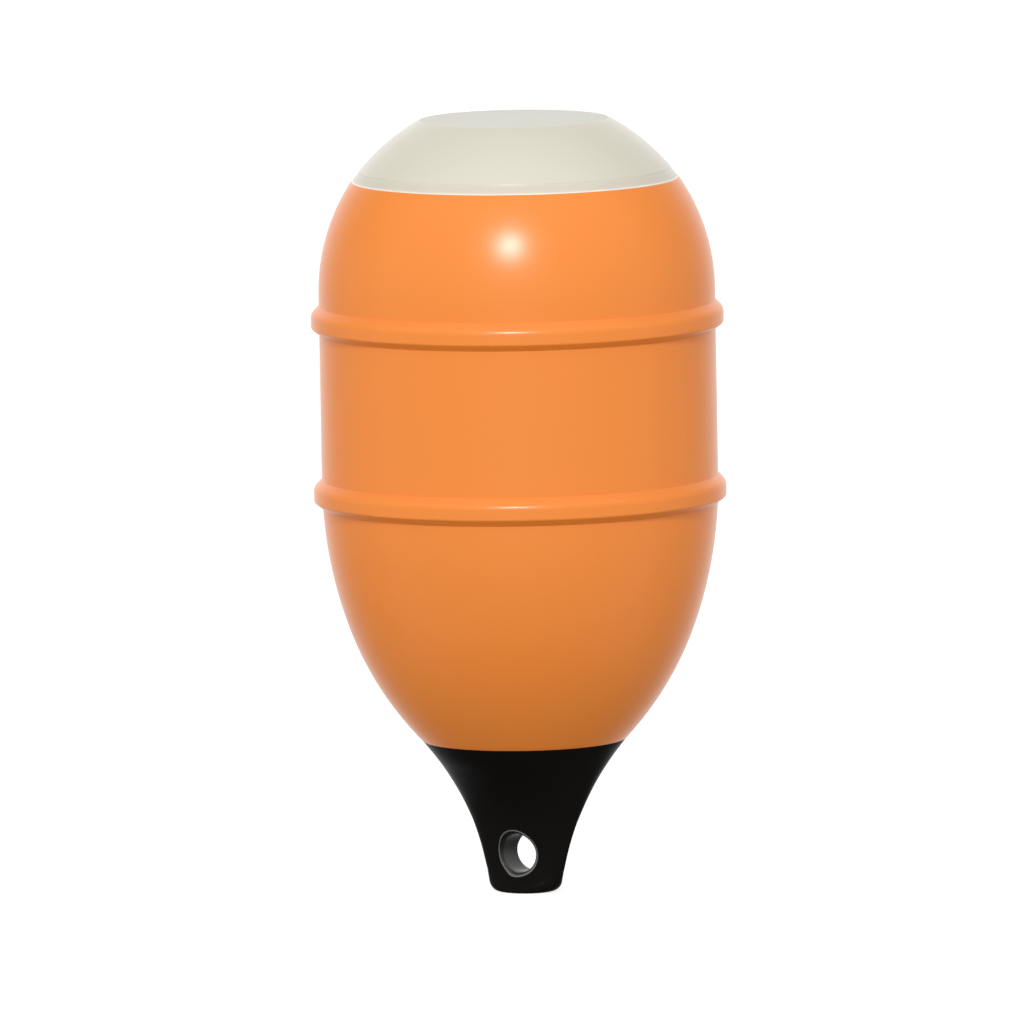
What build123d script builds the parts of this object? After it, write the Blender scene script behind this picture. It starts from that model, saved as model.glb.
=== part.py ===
from build123d import *
import math
import os

# Fishing buoy, in millimetres. The axis of the float is +Z, the origin lies on it at the loaded
# waterline, halfway between the two hoops, and the rope eye runs through the tail along Y.

# Barrel, between the heights where the dome and the bowl run on from it
barrel_radius = 125.0
dome_foot_height = 72.0
bowl_top_height = -49.2
shell_wall = 5.0

# Bowl: two arcs that run on from the barrel and from each other, down to the tail
bowl_upper_arc = 268.8
bowl_upper_depth = 90.0
bowl_lower_arc = 206.1
bowl_lower_depth = 73.4

# Necks inside the shell's two mouths, with the flat ledges around them that carry cap and tail
cap_neck_radius = 90.0
cap_neck_length = 14.0
cap_ledge_width = 13.2
tail_neck_length = 12.0
tail_ledge_width = 14.4
neck_wall = 4.0

# Spigots of the cap and the tail, which sit in the necks
cap_spigot_length = 11.0
tail_spigot_length = 9.0
spigot_lead = 1.5
seat_clearance = 0.2

# Rubbing hoops, seated in shallow grooves: softer above than below, and spaced by their faces
hoop_spacing = 110.0
hoop_rise = 5.1
hoop_upper_slope = 5.2
hoop_face_width = 8.7
hoop_lower_slope = 4.0
hoop_upper_radius = 6.0
hoop_lower_radius = 2.0
hoop_groove_depth = 1.5

# Cap: flatter than the dome it closes, with a slightly sunk band round its rim
cap_height = 38.1
cap_wall = 5.0
cap_side_arc = 136.0
cap_flat_margin = 1.0
cap_edge_radius = 2.5
rim_band_width = 8.0
rim_band_depth = 0.35
rim_band_edge_radius = 0.3

# Disc let into the flat top of the cap
disc_radius = 59.0
disc_thickness = 2.5
disc_inset = 0.4
disc_ledge_width = 5.0
disc_edge_radius = 0.3

# Tail: a round root drawn in to a lug with full-round ends, which spreads again at its tip.
# Each row has the depth below the tail's seat, the half length along X and the half thickness.
tail_length = 96.7
tail_waist_rows = (
    (9.4, 56.8, 54.0),
    (19.4, 51.3, 41.0),
    (29.4, 46.2, 30.6),
    (41.4, 41.0, 21.0),
    (55.4, 35.8, 13.3),
    (71.4, 30.7, 9.4),
    (82.4, 27.6, 8.6),
    (88.0, 26.0, 10.8),
    (92.4, 24.2, 15.6),
)
tail_tip_half_length = 22.8
tail_tip_half_thickness = 17.2
tail_tip_corner = 6.0
lug_end_share = 0.999
lug_waist_half_thickness = 8.5

# Rope eye through the lug, and the sleeve that lines it
eye_to_tip = 25.0
eye_bore_radius = 12.5
eye_liner_wall = 1.5
eye_liner_inset = 1.9
eye_liner_edge_radius = 0.5
eye_mouth_radius = 1.3

# Heights that follow: the knuckle between the bowl's arcs, the seats, and the tail's tip
cap_seat_radius = cap_neck_radius + cap_ledge_width
cap_seat_height = dome_foot_height + math.sqrt(barrel_radius**2 - cap_seat_radius**2)
cap_top_height = cap_seat_height + cap_height
knuckle_height = bowl_top_height - bowl_upper_depth
tail_seat_height = knuckle_height - bowl_lower_depth
tail_tip_height = tail_seat_height - tail_length
eye_height = tail_tip_height + eye_to_tip

# Bowl outline: the lower arc's centre lies on the line from the knuckle to the upper arc's centre
upper_turn = math.asin(bowl_upper_depth / bowl_upper_arc)
knuckle_radius = barrel_radius - bowl_upper_arc * (1 - math.cos(upper_turn))
lower_centre_radius = knuckle_radius - bowl_lower_arc * math.cos(upper_turn)
lower_centre_height = knuckle_height + bowl_lower_arc * math.sin(upper_turn)
tail_seat_rise = tail_seat_height - lower_centre_height
tail_root_radius = lower_centre_radius + math.sqrt(bowl_lower_arc**2 - tail_seat_rise**2)
tail_neck_radius = tail_root_radius - tail_ledge_width

hoop_foot_width = hoop_upper_slope + hoop_face_width + hoop_lower_slope
hoop_foot_offset = (hoop_upper_slope - hoop_lower_slope) / 2
hoop_seat_radius = barrel_radius - hoop_groove_depth
hoop_heights = {"upper_hoop": hoop_spacing / 2, "lower_hoop": -hoop_spacing / 2}
cap_spigot_radius = cap_neck_radius - seat_clearance
tail_spigot_radius = tail_neck_radius - seat_clearance
disc_seat_depth = disc_thickness + disc_inset
eye_liner_radius = eye_bore_radius + eye_liner_wall

os.makedirs("parts", exist_ok=True)

# Body shell: one wall all round, a neck inside each mouth, and a groove for each hoop
with BuildPart() as body_shell:
    with BuildSketch(Plane.XZ):
        with BuildLine():
            Polyline((0.0, tail_seat_height), (0.0, cap_seat_height), (cap_seat_radius, cap_seat_height))
            RadiusArc(
                (cap_seat_radius, cap_seat_height), (barrel_radius, dome_foot_height), barrel_radius
            )
            Line((barrel_radius, dome_foot_height), (barrel_radius, bowl_top_height))
            RadiusArc(
                (barrel_radius, bowl_top_height), (knuckle_radius, knuckle_height), bowl_upper_arc
            )
            RadiusArc(
                (knuckle_radius, knuckle_height), (tail_root_radius, tail_seat_height), bowl_lower_arc
            )
            Line((tail_root_radius, tail_seat_height), (0.0, tail_seat_height))
        make_face()
        mirror(about=Plane.YZ)
        offset(amount=-shell_wall, kind=Kind.INTERSECTION, mode=Mode.SUBTRACT)
        for neck_radius, seat_height, neck_length in (
            (cap_neck_radius, cap_seat_height, -cap_neck_length),
            (tail_neck_radius, tail_seat_height, tail_neck_length),
        ):
            with Locations((0.0, seat_height + neck_length / 2)):
                Rectangle(2 * (neck_radius + neck_wall), abs(neck_length))
                Rectangle(2 * neck_radius, abs(neck_length), mode=Mode.SUBTRACT)
        split(bisect_by=Plane.YZ)
    revolve(axis=Axis.Z)
    with BuildSketch(Plane.XZ):
        for height in hoop_heights.values():
            with Locations((barrel_radius, height + hoop_foot_offset)):
                Rectangle(2 * hoop_groove_depth, hoop_foot_width)
    revolve(axis=Axis.Z, mode=Mode.SUBTRACT)
body_shell.part.label = "body_shell"
export_step(body_shell.part, "parts/body_shell.step")

# Rubbing hoops: beads with rounded faces, each seated in its groove
for hoop_name, height in hoop_heights.items():
    with BuildPart() as hoop:
        with BuildSketch(Plane.XZ):
            with BuildLine():
                upper_foot = height + hoop_face_width / 2 + hoop_upper_slope
                lower_foot = height - hoop_face_width / 2 - hoop_lower_slope
                Polyline(
                    (hoop_seat_radius + seat_clearance, upper_foot),
                    (barrel_radius, upper_foot),
                    (barrel_radius + hoop_rise, upper_foot - hoop_upper_slope),
                    (barrel_radius + hoop_rise, lower_foot + hoop_lower_slope),
                    (barrel_radius, lower_foot),
                    (hoop_seat_radius + seat_clearance, lower_foot),
                    close=True,
                )
            make_face()
            face_corners = vertices().group_by(Axis.X)[-1].sort_by(Axis.Y)
            fillet(face_corners[-1], radius=hoop_upper_radius)
            fillet(face_corners[0], radius=hoop_lower_radius)
        revolve(axis=Axis.Z)
    hoop.part.label = hoop_name
    export_step(hoop.part, f"parts/{hoop_name}.step")

# Top cap: a shell like the float's, with a sunk band at its rim, a spigot below and a ledge on top
with BuildPart() as top_cap:
    spigot_bore = cap_spigot_radius - neck_wall
    with BuildSketch(Plane.XZ):
        with BuildLine():
            Polyline((0.0, cap_top_height), (0.0, cap_seat_height), (cap_seat_radius, cap_seat_height))
            side = RadiusArc(
                (cap_seat_radius, cap_seat_height),
                (disc_radius + cap_flat_margin, cap_top_height),
                -cap_side_arc,
            )
            Line((disc_radius + cap_flat_margin, cap_top_height), (0.0, cap_top_height))
        make_face()
        fillet(vertices().group_by(Axis.Y)[-1].sort_by(Axis.X)[-1], radius=cap_edge_radius)
        mirror(about=Plane.YZ)
        offset(amount=-cap_wall, kind=Kind.INTERSECTION, mode=Mode.SUBTRACT)
        band_top = side.position_at(rim_band_width, position_mode=PositionMode.LENGTH)
        band_run = side.tangent_at(rim_band_width, position_mode=PositionMode.LENGTH)
        band_step = band_run.rotate(Axis.Z, 90) * rim_band_depth
        with BuildLine():
            Polyline(
                side @ 0 - band_step,
                side @ 0 + band_step,
                band_top + band_step,
                band_top - band_step,
                close=True,
            )
        make_face(mode=Mode.SUBTRACT)
        fillet(vertices().sort_by_distance(band_top)[0], radius=rim_band_edge_radius)
        with Locations((0.0, cap_seat_height - cap_spigot_length / 2)):
            Rectangle(2 * cap_spigot_radius, cap_spigot_length)
        with Locations((0.0, cap_seat_height + (cap_wall - cap_spigot_length) / 2)):
            Rectangle(2 * spigot_bore, cap_wall + cap_spigot_length, mode=Mode.SUBTRACT)
        with Locations((0.0, cap_top_height)):
            Rectangle(2 * disc_radius, 2 * disc_seat_depth, mode=Mode.SUBTRACT)
            Rectangle(2 * (disc_radius - disc_ledge_width), 2 * cap_wall, mode=Mode.SUBTRACT)
        split(bisect_by=Plane.YZ)
    revolve(axis=Axis.Z)
    spigot_rim = top_cap.edges().group_by(Axis.Z)[0].sort_by(SortBy.RADIUS)[-1]
    chamfer(spigot_rim, length=spigot_lead)
top_cap.part.label = "top_cap"
export_step(top_cap.part, "parts/top_cap.step")

# Disc let into the cap's top, on its ledge
with BuildPart() as cap_disc:
    with BuildSketch(Plane.XY.offset(cap_top_height - disc_seat_depth)):
        Circle(disc_radius - seat_clearance)
    extrude(amount=disc_thickness)
    fillet(cap_disc.edges().group_by(Axis.Z)[-1], radius=disc_edge_radius)
cap_disc.part.label = "cap_disc"
export_step(cap_disc.part, "parts/cap_disc.step")

# Tail: one smooth form through all its sections, with a spigot in the lower mouth
with BuildPart() as tail:
    tail_rows = (
        (0.0, tail_root_radius, tail_root_radius),
        *tail_waist_rows,
        (tail_length, tail_tip_half_length, tail_tip_half_thickness),
    )
    for depth, half_length, half_thickness in tail_rows:
        with BuildSketch(Plane.XY.offset(tail_seat_height - depth)):
            RectangleRounded(2 * half_length, 2 * half_thickness, radius=lug_end_share * half_thickness)
    loft()
    with BuildSketch(Plane.XY.offset(tail_seat_height)):
        Circle(tail_spigot_radius)
    extrude(amount=tail_spigot_length)
    chamfer(tail.edges().group_by(Axis.Z)[-1], length=spigot_lead)
    fillet(tail.edges().group_by(Axis.Z)[0], radius=tail_tip_corner)
    with BuildSketch(Plane.XZ):
        with Locations((0.0, eye_height)):
            Circle(eye_liner_radius + seat_clearance)
    extrude(amount=barrel_radius, both=True, mode=Mode.SUBTRACT)
    fillet(tail.edges(Select.LAST).filter_by(GeomType.LINE, reverse=True), radius=eye_mouth_radius)
tail.part.label = "tail"
export_step(tail.part, "parts/tail.step")

# Liner of the rope eye: a sleeve in the lug, a little short of the faces at its waist
with BuildPart() as eye_liner:
    with BuildSketch(Plane.XZ):
        with Locations((0.0, eye_height)):
            Circle(eye_liner_radius)
            Circle(eye_bore_radius, mode=Mode.SUBTRACT)
    extrude(amount=lug_waist_half_thickness - eye_liner_inset, both=True)
    fillet(eye_liner.edges().filter_by(GeomType.CIRCLE), radius=eye_liner_edge_radius)
eye_liner.part.label = "eye_liner"
export_step(eye_liner.part, "parts/eye_liner.step")
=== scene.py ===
"""Dresses the fishing buoy: its mouldings with their fine edges, their finishes, the studio and the camera.

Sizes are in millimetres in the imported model's own frame, and are turned to metres where a mesh is
made. The float's axis is +Z and the origin lies on it at the loaded waterline, halfway between
the two hoops. The rope eye runs through the tail along Y.
"""

import logging
import math
from dataclasses import dataclass, field
from enum import Enum
from typing import ClassVar

import bmesh
import bpy
from mathutils import Matrix, Vector


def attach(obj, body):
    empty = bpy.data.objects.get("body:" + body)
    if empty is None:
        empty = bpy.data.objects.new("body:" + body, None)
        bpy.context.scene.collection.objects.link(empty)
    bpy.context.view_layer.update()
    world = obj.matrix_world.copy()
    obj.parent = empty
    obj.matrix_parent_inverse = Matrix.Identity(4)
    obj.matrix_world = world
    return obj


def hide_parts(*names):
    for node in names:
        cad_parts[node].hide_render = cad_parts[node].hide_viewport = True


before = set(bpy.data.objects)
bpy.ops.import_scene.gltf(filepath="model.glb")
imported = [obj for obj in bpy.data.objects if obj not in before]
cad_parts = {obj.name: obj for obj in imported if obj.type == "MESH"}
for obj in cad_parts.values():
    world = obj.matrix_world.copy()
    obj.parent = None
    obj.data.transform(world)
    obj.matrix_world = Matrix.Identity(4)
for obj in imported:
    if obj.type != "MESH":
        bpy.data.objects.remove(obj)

MM = 0.001
# Points of a mesh that are closer than this, in metres, are merged.
WELD_REACH = 0.002 * MM
# An edge lies on a ring that is closer than this, in millimetres.
RING_REACH = 0.02
VIEW_AZIMUTH = 36.0
BODY = "root"
Point = tuple[float, float]
Row = tuple[float, float, float]
Colour = tuple[float, float, float, float]
Piece = bpy.types.Object
Socket = bpy.types.NodeSocket
Feed = Socket | float | Colour | Vector
Feeds = dict[str | int, Feed]

logging.basicConfig(level=logging.INFO, format="%(name)s: %(message)s")
log = logging.getLogger("buoy")


class Slot(Enum):
    """Names for the material slots, one for each moulding."""

    FLOAT = "orange_plastic"
    HOOP = "hoop_plastic"
    CAP = "pale_plastic"
    DISC = "disc_plastic"
    TAIL = "black_plastic"
    LINER = "liner_plastic"


class Level(Enum):
    """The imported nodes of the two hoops, by the side of the waterline that each is on."""

    UPPER = "upper_hoop"
    LOWER = "lower_hoop"


def arc(centre: Point, radius: float, start: float, stop: float, steps: int) -> list[Point]:
    """Lays points along an arc between two angles, in radians from the way out from the axis."""
    turns = (start + (stop - start) * step / steps for step in range(steps + 1))
    return [(centre[0] + radius * math.cos(t), centre[1] + radius * math.sin(t)) for t in turns]


def bow(start: Point, stop: Point, radius: float, steps: int) -> list[Point]:
    """Lays points along the arc that bulges away from the axis between two points of an outline.

    Args:
        start: The upper end.
        stop: The lower end.
        radius: The arc's radius.
        steps: How many runs the arc is divided into.

    Returns:
        The points, both ends included.
    """
    chord = math.dist(start, stop)
    rise = math.sqrt(radius**2 - chord**2 / 4)
    along = ((stop[0] - start[0]) / chord, (stop[1] - start[1]) / chord)
    middle = ((start[0] + stop[0]) / 2, (start[1] + stop[1]) / 2)
    centre = (middle[0] + along[1] * rise, middle[1] - along[0] * rise)
    first = math.atan2(start[1] - centre[1], start[0] - centre[0])
    last = math.atan2(stop[1] - centre[1], stop[0] - centre[0])
    return arc(centre, radius, first, last, steps)


def rounded(outline: list[Point], place: int, radius: float, steps: int) -> list[Point]:
    """Rounds one corner of an outline whose runs are long and straight beside it.

    Args:
        outline: The outline's points.
        place: Which point is the corner.
        radius: The rounding's radius.
        steps: How many runs cross the rounding.

    Returns:
        The outline with the corner's point replaced by the rounding's.
    """
    before, corner, after = (Vector(outline[place + step]) for step in (-1, 0, 1))
    come, go = (corner - before).normalized(), (after - corner).normalized()
    reach = radius * math.tan(come.angle(go) / 2)
    tip, tail = corner - come * reach, corner + go * reach
    points = []
    for step in range(steps + 1):
        share = step / steps
        near, far = tip.lerp(corner, share), corner.lerp(tail, share)
        points.append(tuple(near.lerp(far, share)))
    return [*outline[:place], *points, *outline[place + 1 :]]


def direction(azimuth: float, elevation: float) -> Vector:
    """Returns the way out from the buoy, in degrees round from the eye's axis and above the horizon."""
    around, up = math.radians(azimuth), math.radians(elevation)
    return Vector((math.sin(around) * math.cos(up), -math.cos(around) * math.cos(up), math.sin(up)))


def select_only(piece: Piece) -> None:
    """Deselects everything, then selects one piece and makes it the active one.

    Args:
        piece: The piece that is left selected.
    """
    bpy.ops.object.select_all(action="DESELECT")
    piece.select_set(True)
    bpy.context.view_layer.objects.active = piece


def name_piece(piece: Piece, name: str) -> None:
    """Names a piece and its mesh."""
    piece.name = name
    piece.data.name = name


def smooth(piece: Piece, degrees: float = 30.0) -> None:
    """Shades a piece smooth, apart from edges sharper than an angle."""
    select_only(piece)
    bpy.ops.object.shade_smooth_by_angle(angle=math.radians(degrees))


def open_mesh(kind: str = "VERT", action: str = "SELECT") -> None:
    """Enters edit mode with all or none of the active piece's points or edges selected.

    Args:
        kind: What is selected there: "VERT" or "EDGE".
        action: "SELECT" for all of it, "DESELECT" for none.
    """
    bpy.ops.object.mode_set(mode="EDIT")
    bpy.ops.mesh.select_mode(type=kind)
    bpy.ops.mesh.select_all(action=action)


def seal_mesh() -> None:
    """Merges the open mesh's doubles, turns its faces outwards and leaves edit mode."""
    bpy.ops.mesh.select_all(action="SELECT")
    bpy.ops.mesh.remove_doubles(threshold=WELD_REACH)
    bpy.ops.mesh.normals_make_consistent(inside=False)
    bpy.ops.object.mode_set(mode="OBJECT")


def copy_of(piece: Piece, name: str, lift: float) -> Piece:
    """Copies a finished piece with its own mesh and moves the copy up or down.

    Args:
        piece: The piece that is copied.
        name: The copy's name.
        lift: How far up the copy goes.

    Returns:
        The copy, with its place in its mesh.
    """
    select_only(piece)
    bpy.ops.object.duplicate(linked=False)
    twin = bpy.context.active_object
    name_piece(twin, name)
    open_mesh()
    bpy.ops.transform.translate(value=(0.0, 0.0, lift * MM))
    bpy.ops.object.mode_set(mode="OBJECT")
    return twin


class Lathe:
    """Draws an outline beside the float's axis and spins it into a closed moulding."""

    def __init__(self, steps: int = 256) -> None:
        """Sets how many steps a full turn takes."""
        self.steps = steps

    def turn(self, name: str, outline: list[Point]) -> Piece:
        """Spins an outline once round the axis.

        Args:
            name: The finished piece's name.
            outline: Points as distance from the axis and height. Both ends lie on the axis, or
                the last point joins the first.

        Returns:
            The piece, closed, with its faces outwards and its object at the origin.
        """
        bpy.ops.object.select_all(action="DESELECT")
        radius, height = outline[0]
        bpy.ops.mesh.primitive_plane_add(size=MM, location=(radius * MM, 0.0, height * MM))
        piece = bpy.context.active_object
        name_piece(piece, name)
        bpy.ops.object.transform_apply(location=True, rotation=True, scale=True)
        open_mesh()
        bpy.ops.mesh.merge(type="CENTER")
        for here, there in zip(outline, outline[1:]):
            run = ((there[0] - here[0]) * MM, 0.0, (there[1] - here[1]) * MM)
            bpy.ops.mesh.extrude_region_move(TRANSFORM_OT_translate={"value": run})
        bpy.ops.mesh.select_all(action="SELECT")
        bpy.ops.mesh.spin(steps=self.steps, angle=math.tau, center=(0.0, 0.0, 0.0), axis=(0.0, 0.0, 1.0))
        seal_mesh()
        return piece

    def round_rings(self, piece: Piece, marks: list[Point], width: float) -> None:
        """Rounds the ring edges that pass through points of the outline.

        Args:
            piece: The turned piece.
            marks: Where the edges cross the outline plane.
            width: How far the rounding reaches to each side of an edge.
        """
        select_only(piece)
        open_mesh("EDGE", "DESELECT")
        mesh = bmesh.from_edit_mesh(piece.data)
        for edge in mesh.edges:
            ends = [(vert.co.xy.length / MM, vert.co.z / MM) for vert in edge.verts]
            near = (all(math.dist(end, mark) < RING_REACH for end in ends) for mark in marks)
            edge.select_set(any(near))
        bmesh.update_edit_mesh(piece.data)
        bpy.ops.mesh.bevel(offset_type="OFFSET", offset=width * MM, segments=3, profile=0.5, affect="EDGES")
        bpy.ops.object.mode_set(mode="OBJECT")


class Wiring:
    """Adds nodes to a node tree and feeds their inputs."""

    def __init__(self, tree: bpy.types.NodeTree) -> None:
        """Keeps the tree."""
        self.tree = tree

    def feed(self, node: bpy.types.Node, feeds: Feeds) -> None:
        """Gives a node's inputs what they take.

        Args:
            node: The node.
            feeds: A plain value or another node's output for each input, by its name or place.
        """
        for label, value in feeds.items():
            if isinstance(value, Socket):
                self.tree.links.new(value, node.inputs[label])
            else:
                node.inputs[label].default_value = value

    def add(
        self, kind: str, feeds: Feeds | None = None, **settings: str | bool | bpy.types.NodeTree
    ) -> bpy.types.Node:
        """Adds one node.

        Args:
            kind: The node's type.
            feeds: What its inputs take.
            settings: Its own settings, by name.

        Returns:
            The node.
        """
        node = self.tree.nodes.new(kind)
        for label, value in settings.items():
            setattr(node, label, value)
        self.feed(node, feeds or {})
        return node

    def work_out(self, operation: str, *values: Socket) -> Socket:
        """Adds a sum of one to three values and returns its result."""
        return self.add("ShaderNodeMath", dict(enumerate(values)), operation=operation).outputs["Value"]

    def blend(self, share: Feed, first: Feed, second: Feed, way: str = "MIX") -> Socket:
        """Adds a blend of two colours that takes a share of the second, and returns its result."""
        feeds = {"Factor": share, "A": first, "B": second}
        return self.add("ShaderNodeMix", feeds, data_type="RGBA", blend_type=way).outputs["Result"]


class ShaderGroup:
    """A shader group that several plastics share, built when the first of them asks for it."""

    NAME: ClassVar[str]
    INPUTS: ClassVar[dict[str, float | Colour]]
    OUTPUTS: ClassVar[dict[str, str]]

    def tree(self) -> bpy.types.NodeTree:
        """Returns the group, and builds it the first time."""
        made = bpy.data.node_groups.get(self.NAME)
        return made if made else self._build()

    def _build(self) -> bpy.types.NodeTree:
        """Makes the group's sockets and nodes.

        Returns:
            The group.
        """
        group = bpy.data.node_groups.new(self.NAME, "ShaderNodeTree")
        for label, value in self.INPUTS.items():
            kind = "NodeSocketColor" if isinstance(value, tuple) else "NodeSocketFloat"
            socket = group.interface.new_socket(name=label, in_out="INPUT", socket_type=kind)
            socket.default_value = value
        for label, kind in self.OUTPUTS.items():
            group.interface.new_socket(name=label, in_out="OUTPUT", socket_type=kind)
        wiring = Wiring(group)
        wiring.add("NodeGroupOutput", self._wire(wiring, wiring.add("NodeGroupInput").outputs))
        return group

    def _wire(self, wiring: Wiring, given: bpy.types.NodeOutputs) -> Feeds:
        """Adds the group's own nodes.

        Args:
            wiring: What adds them.
            given: What the group is given, by name.

        Returns:
            What the group puts out, by name.
        """
        raise NotImplementedError


class SkinGroup(ShaderGroup):
    """The shader group that every plastic shares: mottling, gloss variation and moulded grain."""

    NAME = "moulded_skin"
    INPUTS = {
        "Colour": (0.8, 0.8, 0.8, 1.0),
        "Shade": (0.6, 0.6, 0.6, 1.0),
        "Mottle": 0.2,
        "Mottle Scale": 14.0,
        "Gloss": 0.28,
        "Gloss Spread": 0.05,
        "Grain Scale": 700.0,
    }
    OUTPUTS = {"Color": "NodeSocketColor", "Roughness": "NodeSocketFloat", "Height": "NodeSocketFloat"}

    def _wire(self, wiring: Wiring, given: bpy.types.NodeOutputs) -> Feeds:
        """Adds the mottling, the smears in the gloss and the grain.

        Args:
            wiring: What adds their nodes.
            given: What the group is given, by name.

        Returns:
            The colour, the roughness and the grain's height.
        """
        place = wiring.add("ShaderNodeTexCoord").outputs["Object"]
        clouds = wiring.add(
            "ShaderNodeTexNoise",
            {"Vector": place, "Scale": given["Mottle Scale"], "Detail": 4.0, "Roughness": 0.55},
        )
        share = wiring.work_out("MULTIPLY", clouds.outputs["Fac"], given["Mottle"])
        smears = wiring.add("ShaderNodeTexNoise", {"Vector": place, "Scale": 45.0, "Detail": 3.0})
        gloss = wiring.work_out("MULTIPLY_ADD", smears.outputs["Fac"], given["Gloss Spread"], given["Gloss"])
        grain = wiring.add(
            "ShaderNodeTexNoise", {"Vector": place, "Scale": given["Grain Scale"], "Detail": 2.0}
        )
        colour = wiring.blend(share, given["Colour"], given["Shade"])
        return {"Color": colour, "Roughness": gloss, "Height": grain.outputs["Fac"]}


class RimGroup(ShaderGroup):
    """The shader group for a line of painted light or painted shade, at one height or round the eye, broken
    up by noise.
    """

    NAME = "painted_light_rim"
    INPUTS = {
        "Color": (0.8, 0.8, 0.8, 1.0),
        "PaintedLight": (0.9, 0.9, 0.9, 1.0),
        "Height": 0.0,
        "Reach": 0.5 * MM,
        "Amount": 0.5,
        "Ring": 0.0,
        "Centre": 0.0,
    }
    OUTPUTS = {"Color": "NodeSocketColor"}

    def _wire(self, wiring: Wiring, given: bpy.types.NodeOutputs) -> Feeds:
        """Adds the line and the patches in it.

        Args:
            wiring: What adds their nodes.
            given: What the group is given, by name.

        Returns:
            The colour with the line laid over it.
        """
        place = wiring.add("ShaderNodeTexCoord").outputs["Object"]
        split = wiring.add("ShaderNodeSeparateXYZ", {"Vector": place}).outputs
        rise = wiring.work_out("SUBTRACT", split["Z"], given["Centre"])
        across = wiring.work_out("MULTIPLY", split["X"], split["X"])
        square = wiring.work_out("ADD", across, wiring.work_out("MULTIPLY", rise, rise))
        where = wiring.add(
            "ShaderNodeMix",
            {"Factor": given["Ring"], "A": split["Z"], "B": wiring.work_out("SQRT", square)},
        )
        away = wiring.work_out("SUBTRACT", where.outputs["Result"], given["Height"])
        away = wiring.work_out("ABSOLUTE", away)
        band = wiring.add(
            "ShaderNodeMapRange",
            {"Value": wiring.work_out("DIVIDE", away, given["Reach"]), "To Min": 1.0, "To Max": 0.0},
            interpolation_type="SMOOTHSTEP",
        )
        patches = wiring.add("ShaderNodeTexNoise", {"Vector": place, "Scale": 60.0, "Detail": 4.0})
        patchiness = wiring.add(
            "ShaderNodeMapRange",
            {"Value": patches.outputs["Fac"], "From Min": 0.3, "From Max": 0.6, "To Min": 0.6},
        )
        mask = wiring.work_out("MULTIPLY", band.outputs["Result"], patchiness.outputs["Result"])
        mask = wiring.work_out("MULTIPLY", mask, given["Amount"])
        return {"Color": wiring.blend(mask, given["Color"], given["PaintedLight"])}


@dataclass(frozen=True)
class PaintedLight:
    """A line of painted light or painted shade: where it runs, how far it fades out, how strong it is and
    its colour.

    It runs at one height, or, where it has a centre, at one distance from the rope eye's axis, whose
    height the centre is.
    """

    height: float
    reach: float
    amount: float
    colour: Colour
    centre: float | None = None

    def values(self) -> Feeds:
        """Lists what the rim's shader group is given.

        Returns:
            A value for each of its inputs, apart from the colour beneath, by name.
        """
        given = {"PaintedLight": self.colour, "Amount": self.amount}
        given |= {"Height": self.height * MM, "Reach": self.reach * MM}
        if self.centre is not None:
            given |= {"Ring": 1.0, "Centre": self.centre * MM}
        return given


@dataclass(frozen=True)
class Plastic:
    """A moulded plastic: its colour, how it varies, its gloss, its grain and its lines of painted light and
    painted shade.
    """

    name: str
    colour: Colour
    shade: Colour
    gloss: float
    gloss_spread: float = 0.04
    mottle: float = 0.12
    mottle_scale: float = 14.0
    grain_scale: float = 700.0
    grain_depth: float = 0.003 * MM
    specular: float = 0.5
    rims: tuple[PaintedLight, ...] = ()

    def make(self) -> bpy.types.Material:
        """Builds the material.

        Returns:
            A material whose colour, gloss and bump come from the shared groups, built the first
            time.
        """
        known = bpy.data.materials.get(self.name)
        if known:
            return known
        material = bpy.data.materials.new(self.name)
        material.use_nodes = True
        wiring = Wiring(material.node_tree)
        shader = next(node for node in material.node_tree.nodes if node.type == "BSDF_PRINCIPLED")
        shader.inputs["Specular IOR Level"].default_value = self.specular
        values = {
            "Colour": self.colour,
            "Shade": self.shade,
            "Mottle": self.mottle,
            "Mottle Scale": self.mottle_scale,
            "Gloss": self.gloss,
            "Gloss Spread": self.gloss_spread,
            "Grain Scale": self.grain_scale,
        }
        skin = wiring.add("ShaderNodeGroup", values, node_tree=SkinGroup().tree()).outputs
        colour = skin["Color"]
        for rim in self.rims:
            line = wiring.add("ShaderNodeGroup", rim.values(), node_tree=RimGroup().tree())
            wiring.feed(line, {"Color": colour})
            colour = line.outputs["Color"]
        grain = {"Strength": 1.0, "Distance": self.grain_depth, "Height": skin["Height"]}
        bump = wiring.add("ShaderNodeBump", grain)
        wiring.feed(
            shader, {"Base Color": colour, "Roughness": skin["Roughness"], "Normal": bump.outputs["Normal"]}
        )
        return material


ORANGE = (0.856, 0.243, 0.030, 1.0)
ORANGE_SHADE = (0.80, 0.22, 0.026, 1.0)
IVORY = (0.65, 0.62, 0.515, 1.0)
IVORY_SHADE = (0.62, 0.595, 0.49, 1.0)
# Painted shade: the cap's sunk band is drawn darker and warmer, as if shaded and lit by light bounced from
# the orange float.
IVORY_PAINTED_SHADE = (0.61, 0.56, 0.475, 1.0)
# Painted highlight: a bright line drawn along the cap's foot at its joint with the float.
IVORY_PAINTED_HIGHLIGHT = (0.86, 0.83, 0.74, 1.0)
CHALK = (0.69, 0.675, 0.60, 1.0)
CHALK_SHADE = (0.66, 0.65, 0.575, 1.0)
JET = (0.0074, 0.0067, 0.0061, 1.0)
JET_SHADE = (0.0092, 0.0084, 0.0078, 1.0)
SLATE = (0.013, 0.013, 0.0125, 1.0)
SLATE_SHADE = (0.03, 0.03, 0.029, 1.0)
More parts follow.
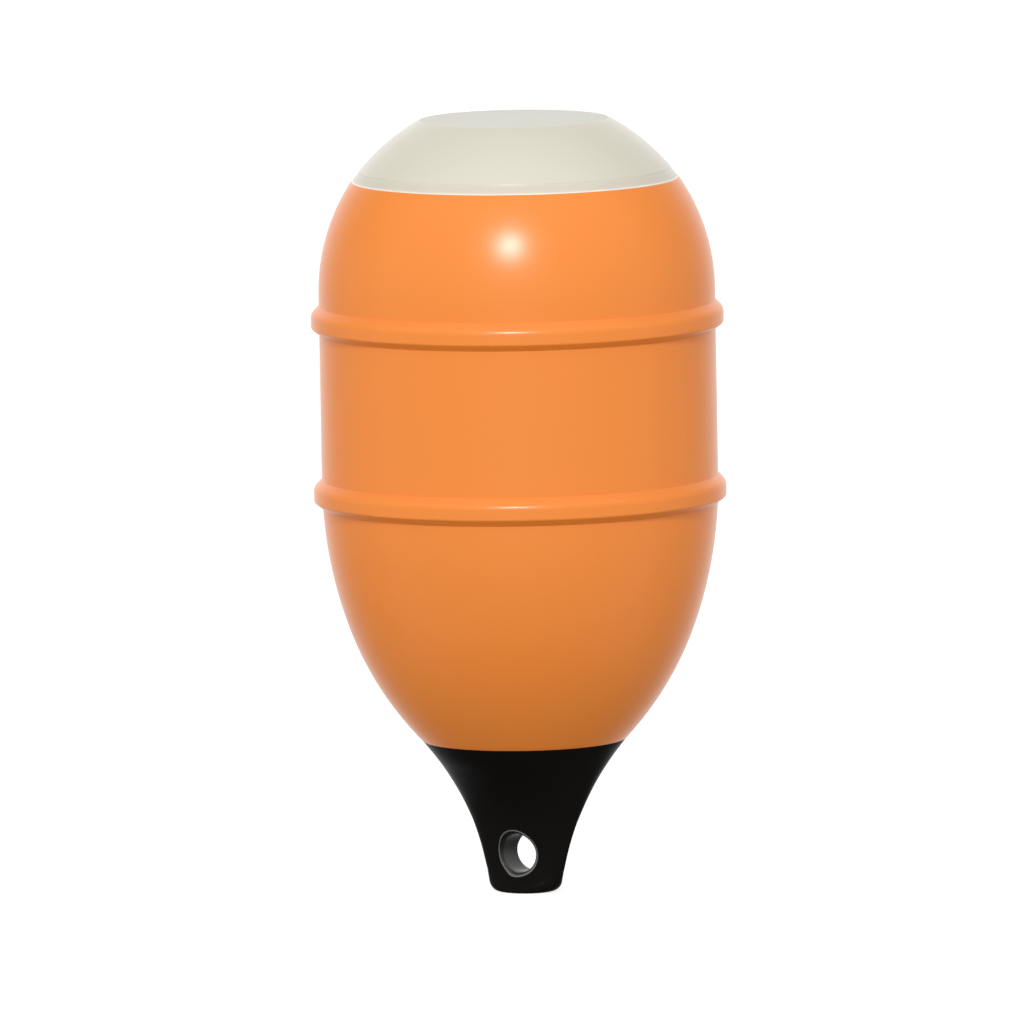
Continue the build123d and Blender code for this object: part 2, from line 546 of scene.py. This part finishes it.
# Painted light: the liner's lower bore is drawn lighter, and its lips carry a painted highlight in this
# colour.
SLATE_PAINTED_LIGHT = (0.18, 0.18, 0.172, 1.0)
PAPER = (0.5, 0.5, 0.5, 1.0)
WHITE = (1.0, 1.0, 1.0, 1.0)
# The height of the rope eye's axis, round which the liner's rings of painted highlight and painted shade
# run.
EYE_CENTRE = -284.3


def dress(piece: Piece, material: bpy.types.Material) -> None:
    """Gives a piece one material in its only slot."""
    piece.data.materials.clear()
    piece.data.materials.append(material)


def place_piece(piece: Piece, node: str, plastic: Plastic) -> None:
    """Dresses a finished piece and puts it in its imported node's place.

    Args:
        piece: The finished piece.
        node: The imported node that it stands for.
        plastic: Its finish.
    """
    dress(piece, plastic.make())
    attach(piece, BODY)
    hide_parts(node)
    log.info("%s: %d faces, %s", piece.name, len(piece.data.polygons), plastic.name)


@dataclass
class FloatMoulding:
    """The float: a dome, a barrel and a bowl in one skin, with a groove under each hoop."""

    barrel_radius: float = 125.0
    dome_foot: float = 72.0
    cap_seat_radius: float = 103.2
    bowl_top: float = -49.2
    upper_arc: float = 268.8
    upper_depth: float = 90.0
    lower_arc: float = 206.1
    lower_depth: float = 73.4
    groove_depth: float = 1.5
    groove_width: float = 17.9
    groove_heights: tuple[float, float] = (55.6, -54.4)
    barrel_run: float = 20.0
    barrel_steps: int = 4
    dome_steps: int = 26
    bowl_steps: tuple[int, int] = (30, 24)
    groove_clear: float = 1.0
    rim_width: float = 0.5
    finish: Plastic = field(
        default_factory=lambda: Plastic("float_skin", ORANGE, ORANGE_SHADE, gloss=0.268)
    )

    @property
    def cap_seat(self) -> float:
        """The height at which the cap sits."""
        return self.dome_foot + math.sqrt(self.barrel_radius**2 - self.cap_seat_radius**2)

    @property
    def upper_turn(self) -> float:
        """The angle that the bowl's upper arc turns through, in radians."""
        return math.asin(self.upper_depth / self.upper_arc)

    @property
    def knuckle(self) -> Point:
        """Where the bowl's two arcs meet."""
        drawn = self.upper_arc * (1 - math.cos(self.upper_turn))
        return (self.barrel_radius - drawn, self.bowl_top - self.upper_depth)

    @property
    def tail_seat(self) -> Point:
        """Finds the rim of the seat that carries the tail.

        Returns:
            Its distance from the axis and its height.
        """
        middle_radius = self.knuckle[0] - self.lower_arc * math.cos(self.upper_turn)
        middle_height = self.knuckle[1] + self.lower_arc * math.sin(self.upper_turn)
        height = self.knuckle[1] - self.lower_depth
        return (middle_radius + math.sqrt(self.lower_arc**2 - (height - middle_height) ** 2), height)

    def outline(self) -> list[Point]:
        """Draws the outline from the top of the axis down to its foot.

        Returns:
            Points as distance from the axis and height.
        """
        barrel = self.barrel_radius
        top = (self.cap_seat_radius, self.cap_seat)
        points = [(0.0, self.cap_seat), top]
        points += bow(top, (barrel, self.dome_foot), barrel, self.dome_steps)[1:]
        inner = barrel - self.groove_depth
        for middle in self.groove_heights:
            upper, lower = middle + self.groove_width / 2, middle - self.groove_width / 2
            start = points[-1][1]
            if start - upper > self.barrel_run:
                runs = range(1, self.barrel_steps)
                points += [(barrel, start - (start - upper) * run / self.barrel_steps) for run in runs]
            points += [(barrel, upper), (inner, upper), (inner, lower), (barrel, lower)]
        foot = points[-1][1]
        turned_in = self.upper_arc - math.sqrt(self.upper_arc**2 - (self.bowl_top - foot) ** 2)
        points[-1] = (barrel - turned_in, foot)
        upper_bowl = bow((barrel, self.bowl_top), self.knuckle, self.upper_arc, self.bowl_steps[0])
        points += [point for point in upper_bowl if point[1] < foot - self.groove_clear]
        points += bow(self.knuckle, self.tail_seat, self.lower_arc, self.bowl_steps[1])[1:]
        return [*points, (0.0, self.tail_seat[1])]

    def build(self, lathe: Lathe) -> None:
        """Turns the float, softens its two rims and puts it in place.

        Args:
            lathe: What spins the outline.
        """
        piece = lathe.turn("float_moulding", self.outline())
        rims = [(self.cap_seat_radius, self.cap_seat), self.tail_seat]
        lathe.round_rings(piece, rims, self.rim_width)
        smooth(piece)
        place_piece(piece, "body_shell", self.finish)


@dataclass
class Hoop:
    """A rubbing hoop: a rounded bead, softer above than below, seated in its groove."""

    barrel_radius: float = 125.0
    rise: float = 5.1
    upper_slope: float = 5.2
    face_width: float = 8.7
    lower_slope: float = 4.0
    upper_radius: float = 6.0
    lower_radius: float = 2.0
    seat_radius: float = 123.7
    spacing: float = 110.0
    finish: Plastic = field(
        default_factory=lambda: Plastic("hoop_skin", ORANGE, ORANGE_SHADE, gloss=0.268)
    )

    def outline(self) -> list[Point]:
        """Draws the upper hoop's closed outline, from its upper foot round and back.

        Returns:
            Points as distance from the axis and height.
        """
        middle = self.spacing / 2
        upper_foot = middle + self.face_width / 2 + self.upper_slope
        lower_foot = middle - self.face_width / 2 - self.lower_slope
        face = self.barrel_radius + self.rise
        points = [
            (self.seat_radius, upper_foot),
            (self.barrel_radius, upper_foot),
            (face, upper_foot - self.upper_slope),
            (face, lower_foot + self.lower_slope),
            (self.barrel_radius, lower_foot),
            (self.seat_radius, lower_foot),
            (self.seat_radius, upper_foot),
        ]
        points = rounded(points, place=3, radius=self.lower_radius, steps=6)
        return rounded(points, place=2, radius=self.upper_radius, steps=10)

    def build(self, lathe: Lathe) -> None:
        """Turns the upper hoop and copies it for the lower one.

        Args:
            lathe: What spins the outline.
        """
        upper = lathe.turn("upper_hoop_bead", self.outline())
        smooth(upper, degrees=25.0)
        lower = copy_of(upper, "lower_hoop_bead", -self.spacing)
        for level, piece in ((Level.UPPER, upper), (Level.LOWER, lower)):
            place_piece(piece, level.value, self.finish)


@dataclass
class TopCap:
    """The pale cap: a crown with a soft upper edge, and a slightly sunk band round its rim."""

    seat_radius: float = 103.2
    seat_height: float = 142.53
    height: float = 38.1
    side_arc: float = 136.0
    top_radius: float = 60.0
    edge_reach: float = 2.6
    band_width: float = 8.0
    band_depth: float = 0.45
    step_rows: tuple[Point, ...] = (
        (0.5, 0.0), (0.35, 0.02), (0.22, 0.08), (0.12, 0.18), (0.05, 0.32), (0.0, 0.5),
        (-0.05, 0.68), (-0.12, 0.82), (-0.22, 0.92), (-0.38, 0.98), (-0.6, 1.0),
    )
    step_clear: Point = (0.8, 1.2)
    side_steps: int = 720
    side_stride: int = 14
    edge_steps: int = 8
    disc_seat_radius: float = 59.0
    disc_seat_depth: float = 2.9
    disc_seat_edge: float = 0.15
    rim_width: float = 0.25
    finish: Plastic = field(
        default_factory=lambda: Plastic(
            "cap_skin",
            IVORY,
            IVORY_SHADE,
            gloss=0.268,
            # The band round the rim carries painted shade, warmed as by bounce from the orange float, and
            # the rim's foot a painted highlight line.
            rims=(PaintedLight(145.6, 4.4, 0.9, IVORY_PAINTED_SHADE), PaintedLight(142.7, 1.1, 1.0, IVORY_PAINTED_HIGHLIGHT)),
        )
    )

    @property
    def top(self) -> float:
        """The height of the cap's flat top."""
        return self.seat_height + self.height

    def outline(self) -> list[Point]:
        """Draws the outline from the disc's seat over the edge, down the side and over the step to the rim.

        Returns:
            Points as distance from the axis and height.
        """
        edge, rim = (self.top_radius, self.top), (self.seat_radius, self.seat_height)
        side = bow(edge, rim, self.side_arc, self.side_steps)
        below = next(point for point in side if math.dist(point, edge) > self.edge_reach)
        brim = (self.disc_seat_radius + self.disc_seat_edge, self.top)
        points = [
            (0.0, self.top - self.disc_seat_depth),
            (self.disc_seat_radius, self.top - self.disc_seat_depth),
            (self.disc_seat_radius, self.top - self.disc_seat_edge),
            brim,
        ]
        for step in range(1, self.edge_steps):
            share = step / self.edge_steps
            near, far = Vector(brim).lerp(edge, share), Vector(edge).lerp(below, share)
            points.append(tuple(near.lerp(far, share)))
        over, under = self.band_width + self.step_clear[0], self.band_width - self.step_clear[1]
        crown = [p for p in side if math.dist(p, edge) > self.edge_reach and math.dist(p, rim) > over]
        points += crown[:: self.side_stride]
        middle = Vector(brim) - Vector((0.0, self.side_arc))
        for above, share in self.step_rows:
            spot = next(p for p in side if math.dist(p, rim) <= self.band_width + above)
            points.append(self._sunk(spot, middle, share))
        band = [p for p in side if math.dist(p, rim) < under]
        points += [self._sunk(spot, middle, 1.0) for spot in [*band[:: self.side_stride], rim]]
        return [*points[:-1], (points[-1][0], self.seat_height), (0.0, self.seat_height)]

    def _sunk(self, spot: Point, middle: Vector, share: float) -> Point:
        """Moves a point of the side towards the side's middle by a share of the band's depth."""
        inwards = (middle - Vector(spot)).normalized()
        return tuple(Vector(spot) + inwards * share * self.band_depth)

    def build(self, lathe: Lathe) -> None:
        """Turns the cap, softens its rim and puts it in place.

        Args:
            lathe: What spins the outline.
        """
        outline = self.outline()
        piece = lathe.turn("top_cap_crown", outline)
        lathe.round_rings(piece, [outline[-2]], self.rim_width)
        smooth(piece, degrees=35.0)
        place_piece(piece, "top_cap", self.finish)


@dataclass
class CapDisc:
    """The disc let into the cap's top: all but flush, with a fine gap round it."""

    radius: float = 58.92
    top: float = 180.56
    thickness: float = 2.8
    edge_width: float = 0.12
    rings: int = 6
    finish: Plastic = field(
        default_factory=lambda: Plastic("disc_skin", CHALK, CHALK_SHADE, gloss=0.42, specular=0.1)
    )

    def build(self, lathe: Lathe) -> None:
        """Turns the disc, softens its upper edge and puts it in place.

        Args:
            lathe: What spins the outline.
        """
        foot = self.top - self.thickness
        across = [self.radius * ring / self.rings for ring in range(self.rings + 1)]
        outline = [(0.0, foot), (self.radius, foot)] + [(reach, self.top) for reach in reversed(across)]
        piece = lathe.turn("cap_disc_plate", outline)
        lathe.round_rings(piece, [(self.radius, self.top)], self.edge_width)
        smooth(piece, degrees=35.0)
        place_piece(piece, "cap_disc", self.finish)


class Sections:
    """The tail's half length and half thickness at any depth, on smooth curves through its rows."""

    def __init__(self, rows: tuple[Row, ...]) -> None:
        """Keeps the rows: depth below the seat, half length along X, half thickness along Y."""
        self.rows = rows

    def at(self, depth: float) -> Point:
        """Finds the section at one depth.

        Args:
            depth: How far below the seat.

        Returns:
            The half length and the half thickness there.
        """
        last = len(self.rows) - 2
        place = min(max(sum(row[0] <= depth for row in self.rows) - 1, 0), last)
        width = self.rows[place + 1][0] - self.rows[place][0]
        share = min(max((depth - self.rows[place][0]) / width, 0.0), 1.0)
        return (self._curve(place, share, 1), self._curve(place, share, 2))

    def _slope(self, place: int, column: int) -> float:
        """Finds a column's slope at a row, flat where it turns and never steep enough to overshoot.

        Args:
            place: The row.
            column: Which size of the rows.

        Returns:
            The slope there.
        """
        runs = []
        for start in (place - 1, place):
            if 0 <= start < len(self.rows) - 1:
                here, there = self.rows[start], self.rows[start + 1]
                runs.append((there[column] - here[column]) / (there[0] - here[0]))
        if len(runs) == 1:
            return runs[0]
        if runs[0] * runs[1] <= 0:
            return 0.0
        return 2 * runs[0] * runs[1] / (runs[0] + runs[1])

    def _curve(self, place: int, share: float, column: int) -> float:
        """Runs a cubic between two rows.

        Args:
            place: The upper row.
            share: How far down to the lower row, from 0 to 1.
            column: Which size of the rows.

        Returns:
            The size there.
        """
        here, there = self.rows[place], self.rows[place + 1]
        width = there[0] - here[0]
        first, last = self._slope(place, column) * width, self._slope(place + 1, column) * width
        square, cube = share * share, share * share * share
        return (
            here[column] * (2 * cube - 3 * square + 1)
            + first * (cube - 2 * square + share)
            + there[column] * (3 * square - 2 * cube)
            + last * (cube - square)
        )


TAIL_ROWS: tuple[Row, ...] = (
    (0.0, 64.3, 64.3),
    (9.4, 58.2, 54.4),
    (19.4, 53.5, 42.4),
    (29.4, 49.1, 32.0),
    (41.4, 43.9, 22.0),
    (55.4, 38.0, 14.2),
    (71.4, 32.6, 9.9),
    (82.4, 29.4, 9.6),
    (88.0, 27.4, 12.8),
    (92.4, 25.2, 17.6),
    (96.7, 23.4, 21.6),
)


@dataclass
class Tail:
    """The black tail: a round root drawn in to a thin lug that swells again at its tip."""

    seat_height: float = -212.6
    length: float = 96.7
    tip_corner: float = 6.4
    points_round: int = 160
    straight_rings: int = 56
    corner_rings: int = 10
    eye_to_tip: float = 25.0
    eye_radius: float = 14.2
    drill_length: float = 80.0
    drill_sides: int = 128
    sway: float = -1.15
    sway_depth: float = 30.0
    sections: Sections = field(default_factory=lambda: Sections(TAIL_ROWS))
    finish: Plastic = field(
        default_factory=lambda: Plastic("tail_skin", JET, JET_SHADE, gloss=0.25, specular=0.008)
    )

    @property
    def eye_height(self) -> float:
        """The height of the rope eye's axis."""
        return self.seat_height - self.length + self.eye_to_tip

    def face(self, across: float, height: float) -> float:
        """Finds how far the tail's face stands off its middle plane.

        Args:
            across: The place along X.
            height: The place along Z.

        Returns:
            The half thickness there.
        """
        depth = self.seat_height - height
        half_length, half_thickness = self.sections.at(depth)
        return half_thickness * math.sqrt(max(1 - ((across - self.drift(depth)) / half_length) ** 2, 0.0))

    def drift(self, depth: float) -> float:
        """Returns how far the lug's middle stands off the float's axis at a depth below the seat."""
        share = min(depth / self.sway_depth, 1.0)
        return self.sway * share * share * (3 - 2 * share)

    def depths(self) -> list[Point]:
        """Lists the rings below the seat, which are closer together round the tip's corner.

        Returns:
            Each ring's depth, and how far it is drawn in at the corner.
        """
        straight, corner = self.length - self.tip_corner, self.tip_corner
        steps = range(1, self.straight_rings + 1)
        rings = [(straight * step / self.straight_rings, 0.0) for step in steps]
        for step in range(1, self.corner_rings + 1):
            turn = math.pi / 2 * step / self.corner_rings
            rings.append((straight + corner * math.sin(turn), corner * (1 - math.cos(turn))))
        return rings

    def build(self) -> None:
        """Extrudes the tail ring by ring, closes it, bores the eye and puts it in place."""
        bpy.ops.object.select_all(action="DESELECT")
        root = self.sections.at(0.0)[0]
        bpy.ops.mesh.primitive_circle_add(
            vertices=self.points_round,
            radius=root * MM,
            fill_type="NOTHING",
            location=(0.0, 0.0, self.seat_height * MM),
        )
        piece = bpy.context.active_object
        name_piece(piece, "tail_lug")
        bpy.ops.object.transform_apply(location=True, rotation=True, scale=True)
        open_mesh()
        above, size = 0.0, (root, root)
        for depth, drawn in self.depths():
            half_length, half_thickness = (side - drawn for side in self.sections.at(depth))
            move = ((self.drift(depth) - self.drift(above)) * MM, 0.0, (above - depth) * MM)
            bpy.ops.mesh.extrude_region_move(TRANSFORM_OT_translate={"value": move})
            bpy.ops.transform.resize(
                value=(half_length / size[0], half_thickness / size[1], 1.0),
                center_override=(self.drift(depth) * MM, 0.0, (self.seat_height - depth) * MM),
            )
            above, size = depth, (half_length, half_thickness)
        self._close(piece)
        self._bore(piece)
        smooth(piece, degrees=35.0)
        place_piece(piece, "tail", self.finish)

    def _close(self, piece: Piece) -> None:
        """Closes the tip and the root.

        Args:
            piece: The open tail, in edit mode, with the ring at its tip selected.
        """
        self._cover()
        open_mesh("EDGE", "DESELECT")
        mesh = bmesh.from_edit_mesh(piece.data)
        for edge in mesh.edges:
            edge.select_set(edge.is_boundary)
        bmesh.update_edit_mesh(piece.data)
        self._cover()
        seal_mesh()

    def _cover(self) -> None:
        """Closes the selected ring with faces that meet at its middle."""
        bpy.ops.mesh.extrude_region_move(TRANSFORM_OT_translate={"value": (0.0, 0.0, 0.0)})
        bpy.ops.mesh.merge(type="CENTER")

    def _bore(self, piece: Piece) -> None:
        """Bores the rope eye through the lug.

        Args:
            piece: The closed tail.
        """
        bpy.ops.object.select_all(action="DESELECT")
        bpy.ops.mesh.primitive_cylinder_add(
            vertices=self.drill_sides,
            radius=self.eye_radius * MM,
            depth=self.drill_length * MM,
            location=(0.0, 0.0, self.eye_height * MM),
            rotation=(math.pi / 2, 0.0, 0.0),
        )
        drill = bpy.context.active_object
        bpy.ops.object.transform_apply(location=True, rotation=True, scale=True)
        select_only(piece)
        cut = piece.modifiers.new("eye", "BOOLEAN")
        cut.operation = "DIFFERENCE"
        cut.solver = "EXACT"
        cut.object = drill
        bpy.ops.object.modifier_apply(modifier=cut.name)
        bpy.data.objects.remove(drill)


@dataclass
class EyeLiner:
    """The grey liner of the rope eye: a sleeve with a rounded lip on each face of the lug."""

    bore_radius: float = 12.5
    sleeve_radius: float = 14.0
    recess: float = 1.3
    mouth_reach: float = 0.6
    mouth_corner: float = 0.18
    lip_radius: float = 15.2
    lip_rise: float = 0.45
    lip_inset: float = 0.1
    lip_steps: int = 8
    turned_half: float = 10.0
    finish: Plastic = field(
        default_factory=lambda: Plastic(
            "liner_skin",
            SLATE,
            SLATE_SHADE,
            gloss=0.22,
            mottle=0.8,
            mottle_scale=160.0,
            specular=0.16,
            # The lower bore is drawn lighter as painted light, the recess inside each lip carries a black
            # ring of painted shade, and each lip a painted highlight ring.
            rims=(
                PaintedLight(-296.0, 17.0, 0.85, SLATE_PAINTED_LIGHT),
                PaintedLight(13.25, 1.0, 1.0, JET, EYE_CENTRE),
                PaintedLight(14.8, 0.9, 0.7, SLATE_PAINTED_LIGHT, EYE_CENTRE),
            ),
        )
    )

    def half(self) -> list[Row]:
        """Draws one half of the sleeve's outline, from the bore's middle out over the lip.

        Returns:
            Points as distance from the eye's axis, share of the lug's half thickness, and height
            above its face.
        """
        bore, sleeve, lip, sunk = self.bore_radius, self.sleeve_radius, self.lip_radius, self.recess
        mouth = [
            (bore, 0.0, 0.0),
            (bore, 0.5, -0.5 * sunk),
            (bore, 0.8, -0.8 * sunk),
            (bore, 1.0, -sunk - self.mouth_reach),
            (bore + self.mouth_corner, 1.0, -sunk - self.mouth_corner),
            (bore + self.mouth_reach, 1.0, -sunk),
        ]
        wall = [
            (sleeve - 0.4, 1.0, -sunk),
            (sleeve - 0.15, 1.0, -sunk + 0.2),
            (sleeve - self.lip_inset, 1.0, -0.2),
        ]
        middle = (sleeve - self.lip_inset + lip) / 2
        half_width = (lip - sleeve + self.lip_inset) / 2
        bead = []
        for step in range(self.lip_steps + 1):
            turn = math.pi * (1 - step / self.lip_steps)
            bead.append((middle + half_width * math.cos(turn), 1.0, self.lip_rise * math.sin(turn)))
        back = [
            (lip, 1.0, -0.15),
            (sleeve, 1.0, -0.15),
            (sleeve, 1.0, -1.2),
            (sleeve, 0.5, -0.6),
            (sleeve, 0.0, 0.0),
        ]
        return mouth + wall + bead + back

    def build(self, lathe: Lathe, tail: Tail) -> None:
        """Turns the liner upright, lays it along the eye and fits its lips to the lug's faces.

        Args:
            lathe: What spins the outline.
            tail: The lug that it lines.
        """
        near = self.half()
        loop = near + [(radius, -share, -lift) for radius, share, lift in reversed(near)][1:]
        outline = [(radius, share * self.turned_half + lift) for radius, share, lift in loop]
        piece = lathe.turn("eye_liner_sleeve", outline)
        known = {self._mark(*point): (share, lift) for point, (_, share, lift) in zip(outline, loop)}
        for vert in piece.data.vertices:
            share, lift = known[self._mark(vert.co.xy.length / MM, vert.co.z / MM)]
            height = tail.eye_height + vert.co.y / MM
            face = tail.face(vert.co.x / MM, height)
            vert.co = Vector((vert.co.x, -(share * face + lift) * MM, height * MM))
        select_only(piece)
        open_mesh()
        bpy.ops.mesh.normals_make_consistent(inside=False)
        bpy.ops.object.mode_set(mode="OBJECT")
        smooth(piece, degrees=40.0)
        place_piece(piece, "eye_liner", self.finish)

    def _mark(self, radius: float, height: float) -> Point:
        """Returns a point of the outline as turned, rounded so that it can be looked up."""
        return (round(radius, 2), round(height, 2))


@dataclass(frozen=True)
class Lamp:
    """A disc lamp that faces the buoy.

    It stands so many degrees round from the camera to its right, so many above the horizon, and so
    many metres away. Its size is its diameter in metres and its power is in watts. Gloss mirrors it
    only where it is seen.
    """

    name: str
    turn: float
    elevation: float
    size: float
    power: float
    distance: float = 3.0
    seen: bool = False


@dataclass
class Studio:
    """Floor, backdrop light and lamps, placed round the camera's own side of the buoy."""

    azimuth: float = VIEW_AZIMUTH
    floor_height: float = -309.5 * MM
    floor_size: float = 60.0
    floor_glow: float = 0.8
    ambient: Point = (0.45, 0.72)
    LAMPS: ClassVar[tuple[Lamp, ...]] = (
        Lamp("key", turn=-3.8, elevation=32.3, size=0.5, power=41.0, seen=True),
        Lamp("front_fill", turn=0.0, elevation=5.0, size=2.4, power=7.0),
        Lamp("left_fill", turn=-110.0, elevation=0.0, size=1.6, power=20.0),
        Lamp("right_fill", turn=110.0, elevation=0.0, size=1.6, power=12.0),
    )
    HEIGHT_STOPS: ClassVar[tuple[Point, ...]] = (
        (-1.0, 0.0), (-0.85, 0.14), (-0.54, 0.65), (-0.34, 0.82), (-0.1, 0.95), (0.35, 1.0), (1.0, 1.3),
    )
    SIDE_STOPS: ClassVar[tuple[Point, ...]] = (
        (-1.0, 1.4), (-0.94, 1.25), (-0.866, 1.02), (-0.766, 0.72), (-0.5, 0.38), (-0.17, 0.5),
        (0.15, 0.95), (1.0, 1.0),
    )

    def light(self) -> None:
        """Adds the key lamp and the soft fills."""
        for plan in self.LAMPS:
            light = bpy.data.lights.new(plan.name, "AREA")
            light.shape = "DISK"
            light.size = plan.size
            light.energy = plan.power
            lamp = bpy.data.objects.new(plan.name, light)
            bpy.context.scene.collection.objects.link(lamp)
            towards = direction(self.azimuth + plan.turn, plan.elevation)
            lamp.location = towards * plan.distance
            lamp.rotation_mode = "QUATERNION"
            lamp.rotation_quaternion = towards.to_track_quat("Z", "Y")
            lamp.visible_glossy = plan.seen
            lamp.visible_camera = False

    def sky(self) -> None:
        """Builds the world: white behind the buoy, and a soft grade that its gloss mirrors."""
        world = bpy.data.worlds.new("studio")
        bpy.context.scene.world = world
        world.use_nodes = True
        world.node_tree.nodes.clear()
        wiring = Wiring(world.node_tree)
        ray = wiring.add("ShaderNodeLightPath").outputs
        around = wiring.add("ShaderNodeTexCoord").outputs["Generated"]
        height = wiring.add("ShaderNodeSeparateXYZ", {"Vector": around}).outputs["Z"]
        front = {0: around, 1: direction(self.azimuth, 0.0)}
        facing = wiring.add("ShaderNodeVectorMath", front, operation="DOT_PRODUCT").outputs["Value"]
        grade = self._ramp(wiring, height, self.HEIGHT_STOPS)
        sides = self._ramp(wiring, facing, self.SIDE_STOPS)
        mirrored = wiring.blend(1.0, grade, sides, way="MULTIPLY")
        lit = wiring.blend(ray["Is Glossy Ray"], self._spread(wiring, height, self.ambient), mirrored)
        clear = wiring.work_out("MAXIMUM", ray["Is Camera Ray"], ray["Is Transmission Ray"])
        background = wiring.add("ShaderNodeBackground", {"Color": wiring.blend(clear, lit, WHITE)})
        wiring.add("ShaderNodeOutputWorld", {"Surface": background.outputs["Background"]})

    def _spread(self, wiring: Wiring, value: Socket, reach: Point = (0.0, 1.0)) -> Socket:
        """Spreads a value that runs from -1 to 1 over another reach, and returns the result."""
        ends = {"From Min": -1.0, "From Max": 1.0, "To Min": reach[0], "To Max": reach[1]}
        return wiring.add("ShaderNodeMapRange", {"Value": value, **ends}).outputs["Result"]

    def _ramp(self, wiring: Wiring, value: Socket, stops: tuple[Point, ...]) -> Socket:
        """Adds a soft ramp of greys.

        Args:
            wiring: What adds its nodes.
            value: What it is read by, from -1 to 1.
            stops: The value and the grey of each stop.

        Returns:
            The grey.
        """
        node = wiring.add("ShaderNodeValToRGB", {"Fac": self._spread(wiring, value)})
        ramp = node.color_ramp
        ramp.interpolation = "EASE"
        while len(ramp.elements) < len(stops):
            ramp.elements.new(0.5)
        for element, (place, grey) in zip(ramp.elements, stops):
            element.position = (place + 1) / 2
            element.color = (grey, grey, grey, 1.0)
        return node.outputs["Color"]

    def floor(self) -> None:
        """Lays the pale floor at the buoy's tip. It shows white from above and is clear from below."""
        bpy.ops.object.select_all(action="DESELECT")
        bpy.ops.mesh.primitive_plane_add(size=self.floor_size, location=(0.0, 0.0, self.floor_height))
        plane = bpy.context.active_object
        plane.name = "floor"
        bpy.ops.object.transform_apply(location=True, rotation=True, scale=True)
        material = bpy.data.materials.new("floor_paper")
        material.use_nodes = True
        material.node_tree.nodes.clear()
        wiring = Wiring(material.node_tree)
        ray = wiring.add("ShaderNodeLightPath").outputs["Is Camera Ray"]
        under = wiring.add("ShaderNodeNewGeometry").outputs["Backfacing"]
        above = wiring.add("ShaderNodeMath", {0: ray, 1: under}, operation="SUBTRACT", use_clamp=True)
        paper = wiring.add("ShaderNodeBsdfDiffuse", {"Color": PAPER})
        glow = wiring.add("ShaderNodeEmission", {"Strength": self.floor_glow})
        lit = wiring.add("ShaderNodeAddShader", {0: paper.outputs["BSDF"], 1: glow.outputs["Emission"]})
        clear = wiring.add("ShaderNodeBsdfTransparent")
        shaders = {1: clear.outputs["BSDF"], 2: lit.outputs["Shader"]}
        mix = wiring.add("ShaderNodeMixShader", {"Fac": above.outputs["Value"], **shaders})
        wiring.add("ShaderNodeOutputMaterial", {"Surface": mix.outputs["Shader"]})
        dress(plane, material)

    def build(self) -> None:
        """Builds the whole studio."""
        self.light()
        self.sky()
        self.floor()
        settings = bpy.context.scene.view_settings
        settings.view_transform = "Standard"


@dataclass
class Camera:
    """The camera at the photograph's angle, far off with a long lens."""

    azimuth: float = VIEW_AZIMUTH
    elevation: float = 6.5
    lean: float = 0.0175
    lens: float = 800.0
    clip_share: float = 4.0
    frame_width: float = 645.8 * MM
    aim_height: float = -68.6 * MM
    aim_right: float = -5.45 * MM

    def place(self) -> None:
        """Adds the camera and makes it the scene's own."""
        back = direction(self.azimuth, self.elevation)
        around = math.radians(self.azimuth)
        level = Vector((math.cos(around), math.sin(around), 0.0))
        upright = back.cross(level)
        right = level * math.cos(self.lean) - upright * math.sin(self.lean)
        top = level * math.sin(self.lean) + upright * math.cos(self.lean)
        data = bpy.data.cameras.new("portrait")
        data.lens = self.lens
        distance = self.frame_width * self.lens / data.sensor_width
        data.clip_end = self.clip_share * distance
        camera = bpy.data.objects.new("portrait", data)
        bpy.context.scene.collection.objects.link(camera)
        aim = Vector((0.0, 0.0, self.aim_height)) + right * self.aim_right
        turned = Matrix((right, top, back)).transposed().to_4x4()
        turned.translation = aim + back * distance
        camera.matrix_world = turned
        bpy.context.scene.camera = camera


def main() -> None:
    """Builds the pieces in order and reports each one."""
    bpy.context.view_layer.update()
    Camera().place()
    Studio().build()
    lathe = Lathe()
    FloatMoulding().build(lathe)
    Hoop().build(lathe)
    TopCap().build(lathe)
    CapDisc().build(lathe)
    tail = Tail()
    tail.build()
    EyeLiner().build(Lathe(steps=96), tail)


if __name__ == "__main__":
    main()
